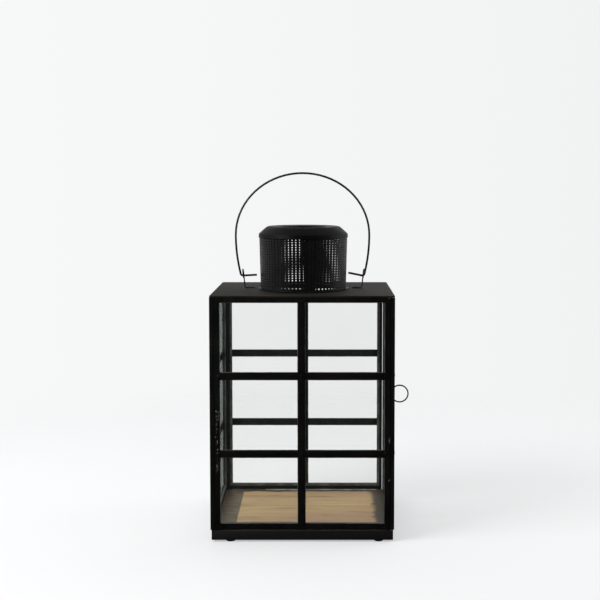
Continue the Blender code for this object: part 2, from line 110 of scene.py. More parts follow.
class Graph:
    """A material's node tree, with short calls for the nodes that the finishes use."""

    def __init__(self, name: str) -> None:
        """Start an empty material.

        Args:
            name: name of the material.
        """
        self.material = bpy.data.materials.new(name)
        self.material.use_nodes = True
        self.tree = self.material.node_tree
        self.tree.nodes.clear()
        self.output = self.tree.nodes.new("ShaderNodeOutputMaterial")
        self.place = self.node("ShaderNodeTexCoord").outputs["Object"]

    def node(self, kind: str, **settings: object) -> bpy.types.Node:
        """Add a node and set its properties.

        Args:
            kind: Blender's name for the node.
            **settings: properties to set on it.

        Returns:
            The new node.
        """
        made = self.tree.nodes.new(kind)
        for key, value in settings.items():
            setattr(made, key, value)
        return made

    def feed(self, socket: Socket, value: object) -> None:
        """Link a socket, or set its constant, whichever the value calls for.

        Args:
            socket: input socket.
            value: an output socket, a number or a colour.
        """
        if isinstance(value, bpy.types.NodeSocket):
            self.tree.links.new(value, socket)
        elif isinstance(value, tuple) and len(value) == 3 and socket.type == "RGBA":
            socket.default_value = (*value, 1.0)
        else:
            socket.default_value = value

    def stretched(
        self, scale: Colour = (1.0, 1.0, 1.0), shift: Colour = (0.0, 0.0, 0.0),
    ) -> Socket:
        """Object coordinates with a scale and a shift.

        Args:
            scale: scale on each axis.
            shift: shift on each axis.

        Returns:
            The mapped coordinates.
        """
        mapping = self.node("ShaderNodeMapping")
        self.feed(mapping.inputs["Vector"], self.place)
        mapping.inputs["Scale"].default_value = scale
        mapping.inputs["Location"].default_value = shift
        return mapping.outputs["Vector"]

    def noise(
        self, coords: Socket, scale: float, detail: float = 4.0, rough: float = 0.55,
        distortion: float = 0.0,
    ) -> Socket:
        """Fractal noise between 0 and 1.

        Args:
            coords: coordinates.
            scale: noise scale.
            detail: octaves.
            rough: weight of the finer octaves.
            distortion: how much the noise bends itself.

        Returns:
            The noise value.
        """
        made = self.node("ShaderNodeTexNoise")
        self.feed(made.inputs["Vector"], coords)
        settings = {"Scale": scale, "Detail": detail, "Roughness": rough, "Distortion": distortion}
        for key, value in settings.items():
            made.inputs[key].default_value = value
        return made.outputs["Fac"]

    def ramp(self, value: Socket, stops: Sequence[tuple[float, Colour]]) -> Socket:
        """Colour ramp over a value.

        Args:
            value: the value to read.
            stops: pairs of position and colour.

        Returns:
            The ramp's colour.
        """
        made = self.node("ShaderNodeValToRGB")
        self.feed(made.inputs["Fac"], value)
        points = made.color_ramp.elements
        while len(points) < len(stops):
            points.new(0.5)
        for point, (position, colour) in zip(points, stops):
            point.position = position
            point.color = (*colour, 1.0)
        return made.outputs["Color"]

    def span(self, value: Socket, low: float, high: float, to_low: float = 0.0,
             to_high: float = 1.0) -> Socket:
        """Map a value from one range to another, held at both ends.

        Args:
            value: the value to read.
            low: where the range starts.
            high: where it ends.
            to_low: result at the start.
            to_high: result at the end.

        Returns:
            The mapped value.
        """
        made = self.node("ShaderNodeMapRange", clamp=True, interpolation_type="SMOOTHSTEP")
        self.feed(made.inputs["Value"], value)
        ends = {"From Min": low, "From Max": high, "To Min": to_low, "To Max": to_high}
        for key, end in ends.items():
            made.inputs[key].default_value = end
        return made.outputs["Result"]

    def maths(self, operation: str, a: object, b: object = 0.0) -> Socket:
        """A maths node on two values.

        Args:
            operation: Blender's name for the operation.
            a: first value.
            b: second value.

        Returns:
            The result.
        """
        made = self.node("ShaderNodeMath", operation=operation)
        self.feed(made.inputs[0], a)
        self.feed(made.inputs[1], b)
        return made.outputs[0]

    def mix(self, factor: object, a: object, b: object) -> Socket:
        """Mix two colours.

        Args:
            factor: share of the second colour.
            a: first colour.
            b: second colour.

        Returns:
            The mixed colour.
        """
        made = self.node("ShaderNodeMix", data_type="RGBA")
        self.feed(made.inputs["Factor"], factor)
        self.feed(made.inputs["A"], a)
        self.feed(made.inputs["B"], b)
        return made.outputs["Result"]

    def axes(self) -> tuple[Socket, Socket, Socket]:
        """The x, y and z of the object coordinates."""
        split = self.node("ShaderNodeSeparateXYZ")
        self.feed(split.inputs[0], self.place)
        return split.outputs[0], split.outputs[1], split.outputs[2]

    def bump(self, height: Socket, strength: float, distance: float) -> Socket:
        """Bump from a height.

        Args:
            height: height value.
            strength: strength of the bump.
            distance: depth of the bump, in metres.

        Returns:
            The bumped normal.
        """
        made = self.node("ShaderNodeBump")
        made.inputs["Strength"].default_value = strength
        made.inputs["Distance"].default_value = distance
        self.feed(made.inputs["Height"], height)
        return made.outputs["Normal"]

    def blend(self, share: object, first: Socket, second: Socket) -> Socket:
        """Mix two shaders.

        Args:
            share: share of the second shader.
            first: first shader.
            second: second shader.

        Returns:
            The mixed shader.
        """
        made = self.node("ShaderNodeMixShader")
        for socket, value in zip(made.inputs, (share, first, second)):
            self.feed(socket, value)
        return made.outputs[0]

    def finished(self, shader: Socket) -> bpy.types.Material:
        """Give the material its shader.

        Args:
            shader: the last shader.

        Returns:
            The material.
        """
        self.tree.links.new(shader, self.output.inputs["Surface"])
        return self.material

    def surface(self, **inputs: object) -> bpy.types.Material:
        """Close the graph with a Principled shader.

        Args:
            **inputs: the shader's inputs, with _ for each space in a name.

        Returns:
            The finished material.
        """
        shader = self.node("ShaderNodeBsdfPrincipled")
        for key, value in inputs.items():
            self.feed(shader.inputs[key.replace("_", " ")], value)
        return self.finished(shader.outputs["BSDF"])


# ---------------------------------------------------------------- finishes

@dataclass(frozen=True)
class Paint:
    """Black paint on sheet metal: streaked by hand, dusty, rubbed bare at its edges."""

    name: str
    deep: Colour = (0.0010, 0.0009, 0.0008)
    light: Colour = (0.0055, 0.0050, 0.0044)
    wear: Colour = (0.060, 0.056, 0.052)
    axis: Axis = Axis.Z
    rough: tuple[float, float] = (0.38, 0.62)
    sheen: float = 0.16
    wear_reach: float = 0.58
    streak: float = 260.0
    relief: float = 0.00010

    def build(self) -> bpy.types.Material:
        """Make the material.

        Returns:
            The paint.
        """
        g = Graph(self.name)
        brushed = g.noise(g.stretched(self.axis.stretch(0.05, 1.0)), self.streak, 5.0, 0.6)
        cloud = g.noise(g.stretched(), 28.0, 4.0, 0.6)
        grain = g.noise(g.stretched(), 900.0, 3.0, 0.6)
        tone = g.maths("ADD", g.maths("MULTIPLY", brushed, 0.55), g.maths("MULTIPLY", cloud, 0.45))
        base = g.mix(g.span(tone, 0.38, 0.66), self.deep, self.light)
        chips_and_glints = g.noise(g.stretched(shift=(3.1, 0.7, 5.2)), 210.0, 6.0, 0.72)
        patch = g.noise(g.stretched(shift=(0.4, 2.2, 1.7)), 22.0, 3.0, 0.5)
        worn_and_light_gaps = g.maths(
            "MULTIPLY", g.span(chips_and_glints, 0.64, 0.72), g.span(patch, self.wear_reach, 0.72),
        )
        colour = g.mix(worn_and_light_gaps, base, self.wear)
        rough = g.span(tone, 0.30, 0.70, self.rough[0], self.rough[1])
        height = g.maths("ADD", g.maths("MULTIPLY", brushed, 0.6), g.maths("MULTIPLY", grain, 0.4))
        return g.surface(
            Base_Color=colour, Roughness=rough, Metallic=0.0, Specular_IOR_Level=self.sheen,
            Normal=g.bump(height, 0.45, self.relief),
        )


@dataclass(frozen=True)
class RoofPaint:
    """Brown-black roof paint, laid on in long strokes from side to side."""

    name: str
    dark: Colour = (0.0078, 0.0068, 0.0058)
    warm: Colour = (0.0285, 0.0236, 0.0186)
    grey: Colour = (0.0240, 0.0243, 0.0218)

    def build(self) -> bpy.types.Material:
        """Make the material.

        Returns:
            The roof paint.
        """
        g = Graph(self.name)
        strokes = g.noise(g.stretched((0.045, 1.0, 1.0)), 150.0, 5.0, 0.62)
        broad = g.noise(g.stretched((0.35, 1.0, 1.0)), 16.0, 3.0, 0.5)
        hue = g.noise(g.stretched((0.3, 1.0, 1.0), (4.0, 1.0, 2.0)), 30.0, 2.0, 0.5)
        tint = g.mix(g.span(hue, 0.40, 0.60), self.warm, self.grey)
        depth = g.maths("ADD", g.maths("MULTIPLY", strokes, 0.6), g.maths("MULTIPLY", broad, 0.4))
        colour = g.mix(g.span(depth, 0.34, 0.62), self.dark, tint)
        pits = g.noise(g.stretched(), 1100.0, 3.0, 0.6)
        height = g.maths("ADD", strokes, g.maths("MULTIPLY", pits, 0.3))
        return g.surface(
            Base_Color=colour, Roughness=g.span(depth, 0.3, 0.7, 0.66, 0.84),
            Specular_IOR_Level=0.10, Normal=g.bump(height, 0.5, 0.00012),
        )


@dataclass(frozen=True)
class Board:
    """Bare pale wood in the middle, black paint on the sides and brushed over the margins."""

    name: str
    half_x: float
    half_y: float
    top: float
    seam_x: float
    stain: Colour = (0.098, 0.078, 0.054)
    black: Colour = (0.0085, 0.0083, 0.0088)
    stray: float = 0.014
    top_edge: tuple[float, float] = (0.0004, 0.0011)

    def grain(self, g: Graph) -> tuple[Socket, Socket]:
        """Wood colour and its relief.

        Args:
            g: graph to draw in.

        Returns:
            The colour and the height of the grain.
        """
        bent = g.noise(g.stretched((0.35, 1.0, 1.0)), 9.0, 2.0, 0.5)
        fibres = g.noise(g.stretched((0.022, 1.0, 1.0)), 420.0, 6.0, 0.65)
        bands = g.noise(g.stretched((0.055, 1.0, 0.4), (0.0, 0.3, 0.0)), 62.0, 4.0, 0.6, 0.8)
        flecks = g.noise(g.stretched((0.10, 1.0, 1.0), (2.0, 5.0, 0.0)), 190.0, 4.0, 0.6)
        tan = g.ramp(bands, [
            (0.26, (0.422, 0.247, 0.122)),
            (0.42, (0.583, 0.380, 0.180)),
            (0.52, (0.707, 0.489, 0.238)),
            (0.62, (0.645, 0.431, 0.238)),
            (0.76, (0.471, 0.282, 0.157)),
        ])
        rosy = g.mix(g.span(bent, 0.46, 0.66), tan, (0.570, 0.345, 0.203))
        streaked = g.mix(g.span(flecks, 0.56, 0.68, 0.0, 0.72), rosy, (0.215, 0.145, 0.085))
        pale = g.mix(g.span(fibres, 0.35, 0.65, 0.0, 0.45), streaked, (0.744, 0.564, 0.336))
        return pale, g.maths("ADD", fibres, g.maths("MULTIPLY", bands, 0.5))

    def margins(self, g: Graph) -> Socket:
        """How much black lies on each spot of the board.

        Args:
            g: graph to draw in.

        Returns:
            The share of paint.
        """
        x, y, z = g.axes()
        ragged = g.noise(g.stretched((0.25, 1.0, 1.0)), 150.0, 5.0, 0.7)
        wander = g.noise(g.stretched(shift=(1.0, 2.0, 0.0)), 34.0, 3.0, 0.5)
        stray = g.maths(
            "ADD", g.maths("MULTIPLY", ragged, self.stray), g.maths("MULTIPLY", wander, self.stray),
        )
        right = g.span(g.maths("ADD", x, stray), self.half_x - 0.012, self.half_x - 0.004)
        rear = g.span(g.maths("ADD", y, stray), self.half_y - 0.002, self.half_y + 0.004)
        front = g.span(g.maths("SUBTRACT", stray, y), self.half_y - 0.022, self.half_y - 0.013)
        left = g.span(g.maths("MULTIPLY", x, -1.0), -self.seam_x, -self.seam_x + 0.0004)
        soft_left = g.maths("MULTIPLY", left, g.span(ragged, 0.25, 0.60, 0.72, 0.95))
        side = self.on_side(g, z)
        back_right = g.maths("MAXIMUM", right, rear)
        front_left = g.maths("MAXIMUM", front, soft_left)
        return g.maths("MAXIMUM", g.maths("MAXIMUM", back_right, front_left), side)

    def on_side(self, g: Graph, z: Socket) -> Socket:
        """Whether a spot lies on the board's sides and not on its top.

        Args:
            g: graph to draw in.
            z: height of the spot.

        Returns:
            0 on the top and 1 on the sides.
        """
        start, end = self.top_edge
        return g.span(z, self.top - start, self.top - end)

    def build(self) -> bpy.types.Material:
        """Make the material.

        Returns:
            The board.
        """
        g = Graph(self.name)
        wood, height = self.grain(g)
        cover = self.margins(g)
        x, _, z = g.axes()
        on_side = self.on_side(g, z)
        paint = g.mix(on_side, self.stain, self.black)
        smear = g.noise(g.stretched((0.4, 1.0, 1.0)), 60.0, 4.0, 0.6)
        worn_paint = g.mix(g.span(smear, 0.45, 0.70, 0.0, 0.40), paint, (0.170, 0.130, 0.088))
        mixed_paint = g.mix(on_side, worn_paint, paint)
        edge_line = g.maths(
            "MULTIPLY", g.span(x, self.seam_x - 0.0012, self.seam_x - 0.0002),
            g.span(x, self.seam_x + 0.0010, self.seam_x + 0.0001),
        )
        lined = g.mix(g.maths("MULTIPLY", edge_line, 0.65), wood, (0.060, 0.040, 0.028))
        colour = g.mix(cover, lined, mixed_paint)
        return g.surface(
            Base_Color=colour, Roughness=g.span(cover, 0.0, 1.0, 0.68, 0.50),
            Specular_IOR_Level=0.30, Normal=g.bump(height, 0.5, 0.00020),
        )


@dataclass(frozen=True)
class SheetGlass:
    """Clear sheet glass, faintly green, with a trace of dust."""

    name: str
    tint: Colour = (0.990, 0.993, 0.990)
    edge_on: Colour = (0.66, 0.70, 0.67)
    dust: float = 0.004

    def build(self) -> bpy.types.Material:
        """Make the material: light passes straight through, with a thin reflection.

        Returns:
            The glass.
        """
        g = Graph(self.name)
        through = g.node("ShaderNodeBsdfTransparent")
        slant = g.node("ShaderNodeLayerWeight")
        slant.inputs["Blend"].default_value = 0.5
        steep = g.span(slant.outputs["Facing"], 0.80, 0.97)
        g.feed(through.inputs["Color"], g.mix(steep, self.tint, self.edge_on))
        shine = g.node("ShaderNodeBsdfGlossy")
        shine.inputs["Roughness"].default_value = 0.02
        g.feed(shine.inputs["Color"], (0.9, 0.95, 0.93))
        fresnel = g.node("ShaderNodeFresnel")
        fresnel.inputs["IOR"].default_value = 1.45
        mirror = g.maths("MULTIPLY", fresnel.outputs[0], 0.6)
        pane = g.blend(mirror, through.outputs[0], shine.outputs[0])
        film = g.node("ShaderNodeBsdfDiffuse")
        g.feed(film.inputs["Color"], (0.62, 0.66, 0.63))
        haze = g.noise(g.stretched(), 18.0, 5.0, 0.6)
        dusty = g.span(haze, 0.35, 0.75, self.dust * 0.3, self.dust * 2.0)
        return g.finished(g.blend(dusty, pane, film.outputs[0]))


@dataclass(frozen=True)
class Sealant:
    """Old clear sealant along the glass: milky, uneven and a little dirty."""

    name: str
    clean: Colour = (0.165, 0.175, 0.165)
    dirty: Colour = (0.080, 0.085, 0.080)

    def build(self) -> bpy.types.Material:
        """Make the material.

        Returns:
            The sealant.
        """
        g = Graph(self.name)
        blotch = g.noise(g.stretched(), 45.0, 4.0, 0.6)
        beads = g.noise(g.stretched(shift=(2.0, 1.0, 4.0)), 420.0, 3.0, 0.5)
        colour = g.mix(g.span(blotch, 0.40, 0.62), self.dirty, self.clean)
        return g.surface(
            Base_Color=colour, Roughness=g.span(blotch, 0.3, 0.7, 0.30, 0.55),
            Specular_IOR_Level=0.45, Normal=g.bump(beads, 0.5, 0.00015),
        )


@dataclass(frozen=True)
class BlackWire:
    """Black enamel on drawn wire, scuffed lightly along its length."""

    name: str
    deep: Colour = (0.0022, 0.0022, 0.0024)
    light: Colour = (0.0100, 0.0098, 0.0100)
    bare: Colour = (0.055, 0.052, 0.050)

    def build(self) -> bpy.types.Material:
        """Make the material.

        Returns:
            The enamel.
        """
        g = Graph(self.name)
        tone = g.noise(g.stretched(), 90.0, 4.0, 0.6)
        scuff = g.noise(g.stretched(shift=(5.0, 1.0, 3.0)), 420.0, 5.0, 0.7)
        lacquer = g.mix(g.span(tone, 0.35, 0.65), self.deep, self.light)
        colour = g.mix(g.span(scuff, 0.66, 0.74, 0.0, 0.7), lacquer, self.bare)
        return g.surface(
            Base_Color=colour, Roughness=g.span(tone, 0.3, 0.7, 0.34, 0.52),
            Specular_IOR_Level=0.40, Normal=g.bump(scuff, 0.35, 0.00006),
        )


@dataclass(frozen=True)
class Steel:
    """Plain drawn steel of the nails, pins and washer, dulled by handling."""

    name: str
    bright: Colour = (0.42, 0.41, 0.39)
    dull: Colour = (0.20, 0.18, 0.16)

    def build(self) -> bpy.types.Material:
        """Make the material.

        Returns:
            The steel.
        """
        g = Graph(self.name)
        tarnish = g.noise(g.stretched(), 600.0, 5.0, 0.65)
        drawn = g.noise(g.stretched((1.0, 1.0, 0.1)), 2600.0, 2.0, 0.5)
        return g.surface(
            Base_Color=g.mix(g.span(tarnish, 0.4, 0.65), self.bright, self.dull),
            Metallic=1.0, Roughness=g.span(tarnish, 0.3, 0.7, 0.30, 0.55),
            Normal=g.bump(drawn, 0.3, 0.00003),
        )


@dataclass(frozen=True)
class Rubber:
    """Black rubber of the feet, matt, with dust in its pores."""

    name: str
    deep: Colour = (0.006, 0.006, 0.006)
    dusty: Colour = (0.028, 0.027, 0.025)

    def build(self) -> bpy.types.Material:
        """Make the material.

        Returns:
            The rubber.
        """
        g = Graph(self.name)
        pores = g.noise(g.stretched(), 1500.0, 3.0, 0.6)
        dust = g.noise(g.stretched(), 260.0, 4.0, 0.6)
        return g.surface(
            Base_Color=g.mix(g.span(dust, 0.45, 0.70), self.deep, self.dusty),
            Roughness=g.span(pores, 0.3, 0.7, 0.72, 0.90), Specular_IOR_Level=0.30,
            Normal=g.bump(pores, 0.6, 0.00008),
        )


@dataclass(frozen=True)
class ScuffAndGlint:
    """Pale rubbed spots where paint has come away; the same finish also makes two painted
    highlights by the door's joint.
    """

    name: str
    pale: Colour = (0.46, 0.45, 0.43)
    dark: Colour = (0.060, 0.058, 0.056)

    def build(self) -> bpy.types.Material:
        """Make the material.

        Returns:
            The bare spots and painted highlights.
        """
        g = Graph(self.name)
        broken = g.noise(g.stretched(), 900.0, 5.0, 0.7)
        return g.surface(
            Base_Color=g.mix(g.span(broken, 0.42, 0.60), self.dark, self.pale),
            Roughness=g.span(broken, 0.3, 0.7, 0.55, 0.75), Specular_IOR_Level=0.30,
            Normal=g.bump(broken, 0.6, 0.00010),
        )


@dataclass
class Palette:
    """Every finish of the lantern, made once and shared by the pieces."""

    case: bpy.types.Material
    rail: bpy.types.Material
    roof: bpy.types.Material
    chimney: bpy.types.Material
    # Darker, duller copy of the chimney paint: painted shade on the cap and collar.
    cap: bpy.types.Material
    board: bpy.types.Material
    glass: bpy.types.Material
    sealant: bpy.types.Material
    # Near-white finish of the rear foot bead: painted highlight.
    fresh: bpy.types.Material
    wire: bpy.types.Material
    steel: bpy.types.Material
    rubber: bpy.types.Material
    # Pale finish of the scuffs, also used for two painted highlights by the door's joint.
    scuff: bpy.types.Material

    @classmethod
    def mix_up(cls, seam_x: float) -> "Palette":
        """Make the finishes.

        Args:
            seam_x: x of the straight edge of the board's stained strip.

        Returns:
            The palette.
        """
        low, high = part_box("base_board")
        return cls(
            case=Paint("case_upright_paint").build(),
            rail=Paint("case_rail_paint", axis=Axis.X, light=(0.0050, 0.0042, 0.0030)).build(),
            roof=RoofPaint("roof_paint").build(),
            chimney=Paint(
                "chimney_paint", deep=(0.0016, 0.0016, 0.0018), light=(0.0070, 0.0070, 0.0074),
                rough=(0.36, 0.56), sheen=0.16, streak=120.0,
            ).build(),
            # Darker copy of the chimney paint, so the cap and collar carry painted shade.
            cap=Paint(
                "cap_paint_darkened_for_shade", deep=(0.0008, 0.0008, 0.0009), light=(0.0032, 0.0032, 0.0034),
                rough=(0.40, 0.60), sheen=0.08, streak=120.0,
            ).build(),
            board=Board("board_wood", high.x, high.y, high.z, seam_x).build(),
            glass=SheetGlass("sheet_glass").build(),
            sealant=Sealant("glazing_sealant").build(),
            # Near-white copy of the sealant for the rear foot bead: a painted highlight for the
            # bright line beneath the rear rail.
            fresh=Sealant(
                "pale_painted_highlight", clean=(0.80, 0.81, 0.80), dirty=(0.42, 0.41, 0.38),
            ).build(),
            wire=BlackWire("black_wire").build(),
            steel=Steel("plain_steel").build(),
            rubber=Rubber("foot_rubber").build(),
            scuff=ScuffAndGlint("scuffed_spots_and_glints").build(),
        )


# ------------------------------------------------------------- making pieces

def add_piece(
    name: str, bm: bmesh.types.BMesh, body: str, finish: bpy.types.Material,
    stands_for: Iterable[str] = (), crease: float = 35.0,
) -> bpy.types.Object:
    """Turn drawn geometry into a piece that rides on a body.

    Args:
        name: name of the piece.
        bm: drawn geometry, in the frame's coordinates.
        body: the body that it rides on.
        finish: its material.
        stands_for: CAD nodes that it replaces.
        crease: angle in degrees above which an edge stays sharp.

    Returns:
        The piece.
    """
    bmesh.ops.recalc_face_normals(bm, faces=bm.faces)
    mesh = bpy.data.meshes.new(name)
    bm.to_mesh(mesh)
    bm.free()
    mesh.shade_smooth()
    mesh.set_sharp_from_angle(angle=math.radians(crease))
    mesh.materials.append(finish)
    piece = bpy.data.objects.new(name, mesh)
    bpy.context.scene.collection.objects.link(piece)
    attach(piece, body)
    if stands_for:
        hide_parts(*stands_for)
    return piece


def dress(node: str, finish: bpy.types.Material) -> bpy.types.Object:
    """Give a CAD node its finish.

    Args:
        node: the node's name.
        finish: its material.

    Returns:
        The node's object.
    """
    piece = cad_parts[node]
    piece.data.materials.clear()
    piece.data.materials.append(finish)
    return piece


def ease_edges(piece: bpy.types.Object, width: float) -> None:
    """Round a CAD node's sharp edges.

    Args:
        piece: the node's object.
        width: width of the rounding.
    """
    imported = piece.data.attributes.get("custom_normal")
    if imported is not None:
        piece.data.attributes.remove(imported)
    piece.data.shade_smooth()
    weld = piece.modifiers.new("join_faces", "WELD")
    weld.merge_threshold = 0.00001
    bevel = piece.modifiers.new("eased_edges", "BEVEL")
    bevel.width = width
    bevel.segments = 2
    bevel.limit_method = "ANGLE"
    bevel.angle_limit = math.radians(40)
    bevel.harden_normals = True
    bevel.use_clamp_overlap = True


def turned(profile: Sequence[tuple[float, float]], sides: int = 144) -> bmesh.types.BMesh:
    """Spin a closed (radius, height) outline about the upright axis.

    Args:
        profile: the outline.
        sides: steps around.

    Returns:
        The turned body.
    """
    bm = bmesh.new()
    rings = []
    for step in range(sides):
        turn = math.tau * step / sides
        rings.append([
            bm.verts.new((r * math.cos(turn), r * math.sin(turn), z)) for r, z in profile
        ])
    count = len(profile)
    for step in range(sides):
        here, after = rings[step], rings[(step + 1) % sides]
        for i in range(count):
            j = (i + 1) % count
            bm.faces.new((here[i], after[i], after[j], here[j]))
    return bm


def rounded_strip(
    bm: bmesh.types.BMesh, start: Vector, end: Vector, across: Vector, out: Vector,
    width: float, rise: float, waver: float = 0.0, seed: float = 0.0,
) -> None:
    """Add a bead or flat bar between two points, with rounded shoulders.

    Args:
        bm: where to draw.
        start: one end of its centre line.
        end: the other end.
        across: direction of its width.
        out: direction in which it stands proud.
        width: its width.
        rise: how far it stands proud of the centre line's plane.
        waver: how much its width changes along its length.
        seed: place in the noise that changes the width.
    """
    length = (end - start).length
    steps = max(2, round(length / 0.004)) if waver else 2
    shape = [(-0.5, 0.0), (-0.5, 0.62), (-0.46, 0.90), (-0.38, 1.0), (0.38, 1.0), (0.46, 0.90),
             (0.5, 0.62), (0.5, 0.0)]
    rings = []
    for step in range(steps + 1):
        share = step / steps
        middle = start.lerp(end, share)
        wide = width * (1.0 + waver * noise.noise(Vector((seed, share * length * 90.0, 0.3))))
        rings.append([
            bm.verts.new(middle + across * (wide * u) + out * (rise * v)) for u, v in shape
        ])
    for here, after in zip(rings, rings[1:]):
        for i in range(len(shape)):
            j = (i + 1) % len(shape)
            bm.faces.new((here[i], here[j], after[j], after[i]))
    bm.faces.new(rings[0])
    bm.faces.new(rings[-1])


def solder_blob(
    bm: bmesh.types.BMesh, centre: Vector, along: Vector, out: Vector, size: float, seed: float,
) -> None:
    """Add a low uneven lump of solder.

    Args:
        bm: where to draw.
        centre: its centre, on the surface.
        along: direction of its longer side.
        out: direction in which it stands proud.
        size: half its length.
        seed: place in the noise that shapes it.
    """
    side = out.cross(along)
    place = Matrix((along, side, out)).transposed().to_4x4()
    place.translation = centre
    verts = bmesh.ops.create_icosphere(bm, subdivisions=3, radius=1.0)["verts"]
    for vert in verts:
        lump = 1.0 + 0.30 * noise.noise(vert.co * 1.7 + Vector((seed, 0.0, 0.0)))
        vert.co = place @ Vector((vert.co.x * size * lump, vert.co.y * size * 0.72 * lump,
                                  vert.co.z * size * 0.20 * lump))


# ------------------------------------------------------------ wooden base

@dataclass
class WoodenBase:
    """The board, its four feet and the steel that fixes the case to it."""

    palette: Palette
    edge: float = 0.0004
    fixings: tuple[str, ...] = (
        "nail_front_left", "nail_front_right", "nail_rear_left", "nail_rear_right",
        "nail_left_front", "nail_left_rear", "door_stop", "door_washer",
    )
    feet: tuple[str, ...] = (
        "foot_front_left", "foot_front_right", "foot_rear_left", "foot_rear_right",
    )

    def build(self) -> list[bpy.types.Object]:
        """Dress the base.

        Returns:
            Its pieces.
        """
        board = dress("base_board", self.palette.board)
        ease_edges(board, self.edge)
        pieces = [board]
        for name in self.feet:
            foot = dress(name, self.palette.rubber)
            ease_edges(foot, self.edge)
            pieces.append(foot)
        pieces += [dress(name, self.palette.steel) for name in self.fixings]
        return pieces


# ----------------------------------------------------------- glazed sides

@dataclass
class GlazedSide:
    """One glazed side: its frame, bars, glass, sealant and solder."""

    side: Side
    palette: Palette
    edge: float = 0.00045
    lap: float = 0.0022
    proud: float = 0.00035
    bead: float = 0.0007
    waver: float = 0.28
    corners: tuple[Vector, Vector] = field(init=False)

    def __post_init__(self) -> None:
        """Read the lattice's place from the frame."""
        self.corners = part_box(f"{self.side.value}_muntins")

    def point(self, along: float, level: float, out: float) -> Vector:
        """A point in the plane of the side's outer face.

        Args:
            along: place along the side.
            level: height.
            out: distance outwards from the bars' outer face.

        Returns:
            The point.
        """
        low, high = self.corners
        face = max(abs(low.dot(self.side.out)), abs(high.dot(self.side.out)))
        return self.side.along * along + Vector((0, 0, level)) + self.side.out * (face + out)

    def lattice(self) -> tuple[list[float], list[float]]:
        """Edges of the bars: places along the side, then heights.

        Returns:
            Four places and six heights, in order.
        """
        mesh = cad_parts[f"{self.side.value}_muntins"].data
        places = sorted({round(v.co.dot(self.side.along), 5) for v in mesh.vertices})
        levels = sorted({round(v.co.z, 5) for v in mesh.vertices})
        return places, levels

    def bars(self) -> bpy.types.Object:
        """Glazing bars with eased shoulders, lapped a little over the frame.

        Returns:
            The bars, in place of the CAD lattice.
        """
        places, levels = self.lattice()
        wide = levels[2] - levels[1]
        thick = self.proud + 0.0013
        bm = bmesh.new()
        for low, high in ((levels[1], levels[2]), (levels[3], levels[4])):
            middle = (low + high) / 2
            rounded_strip(
                bm, self.point(places[0] - self.lap, middle, -0.0013),
                self.point(places[-1] + self.lap, middle, -0.0013),
                Vector((0, 0, 1)), self.side.out, wide, thick,
            )
        middle = (places[1] + places[2]) / 2
        rounded_strip(
            bm, self.point(middle, levels[0] - self.lap * 0.4, -0.0013),
            self.point(middle, levels[-1] + self.lap * 0.4, -0.0013),
            self.side.along, self.side.out, places[2] - places[1], thick + 0.0002,
        )
        name = f"{self.side.value}_bars"
        return add_piece(
            name, bm, self.side.body, self.palette.rail,
            (f"{self.side.value}_muntins",), 25.0,
        )

    def solder(self) -> bpy.types.Object:
        """Low lumps of solder where bars meet the frame and each other.

        Returns:
            The solder.
        """
        places, levels = self.lattice()
        middle = (places[1] + places[2]) / 2
        across = [places[0] - self.lap * 0.5, middle, places[-1] + self.lap * 0.5]
        chance = random.Random(sum(map(ord, self.side.value)))
        bm = bmesh.new()
        for level in ((levels[1] + levels[2]) / 2, (levels[3] + levels[4]) / 2):
            for place in across:
                centre = self.point(place, level + chance.uniform(-1, 1) * 0.0012, self.proud)
                solder_blob(
                    bm, centre, Vector((0, 0, 1)), self.side.out,
                    chance.uniform(0.0024, 0.0032), chance.uniform(0, 50),
                )
        for level in (levels[0], levels[-1]):
            centre = self.point(middle + chance.uniform(-1, 1) * 0.001, level, self.proud)
            solder_blob(bm, centre, self.side.along, self.side.out, 0.0026, chance.uniform(0, 50))
        name = f"{self.side.value}_solder"
        return add_piece(name, bm, self.side.body, self.palette.case)

    def beads(self) -> bpy.types.Object:
        """Thin line of sealant squeezed out around each of the six lights.

        Returns:
            The sealant lines.
        """
        places, levels = self.lattice()
        lights = [
            (left, right, low, high)
            for left, right in zip(places[::2], places[1::2])
            for low, high in zip(levels[::2], levels[1::2])
        ]
        half = self.bead / 2
        bm = bmesh.new()
        for number, (left, right, low, high) in enumerate(lights):
            sides = [
                ((left, low + half), (right, low + half), Vector((0, 0, 1))),
                ((left, high - half), (right, high - half), Vector((0, 0, 1))),
                ((left + half, low), (left + half, high), self.side.along),
                ((right - half, low), (right - half, high), self.side.along),
            ]
            for turn, (start, end, across) in enumerate(sides):
                rounded_strip(
                    bm, self.point(start[0], start[1], -0.00158),
                    self.point(end[0], end[1], -0.00158), across, self.side.out,
                    self.bead, 0.0006, self.waver, number * 7.3 + turn * 1.9,
                )
        name = f"{self.side.value}_sealant_lines"
        return add_piece(name, bm, self.side.body, self.palette.sealant)

    def build(self) -> list[bpy.types.Object]:
        """Dress the side.

        Returns:
            Its pieces.
        """
        name = self.side.value
        border = dress(f"{name}_frame", self.palette.case)
        ease_edges(border, self.edge)
        pane = dress(f"{name}_glass", self.palette.glass)
        bead = dress(f"{name}_seal", self.palette.sealant)
        pieces = [border, pane, bead, self.bars(), self.solder(), self.beads()]
        if self.side is Side.DOOR:
            pins = ("door_pin_lower", "door_pin_upper")
            pieces += [dress(pin, self.palette.steel) for pin in pins]
        return pieces


